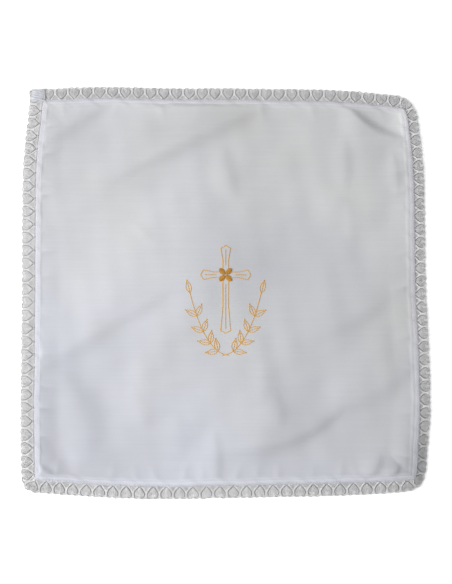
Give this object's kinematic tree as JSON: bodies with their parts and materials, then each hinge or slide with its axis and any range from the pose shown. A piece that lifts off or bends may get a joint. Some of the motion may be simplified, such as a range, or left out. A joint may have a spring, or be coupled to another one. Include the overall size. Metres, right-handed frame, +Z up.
{
  "type": "baptismal handkerchief",
  "caption": "Square christening cloth of fine hemmed cotton lying in soft folds, with a narrow lace edging sewn all round; wipes and covers the child's head at baptism.",
  "frame": {"origin": "on the table top, under the middle of the cloth", "axes": "+Z up from the table, +Y towards the top edge of the cloth, +X towards its right edge"},
  "size_m": [0.3675, 0.3727, 0.0088],
  "materials": {
    "cotton": "fine plain weave with a faint horizontal slub, slightly sheer, matt",
    "lace": "soft matt cotton net and cord",
    "white_thread": "twisted sewing thread with a slight sheen",
    "gold_thread": "twisted embroidery thread with a silky sheen"
  },
  "bodies": {
    "root": {"cloth_panel": "cotton", "lace_edging": "lace"}
  },
  "joints": []
}
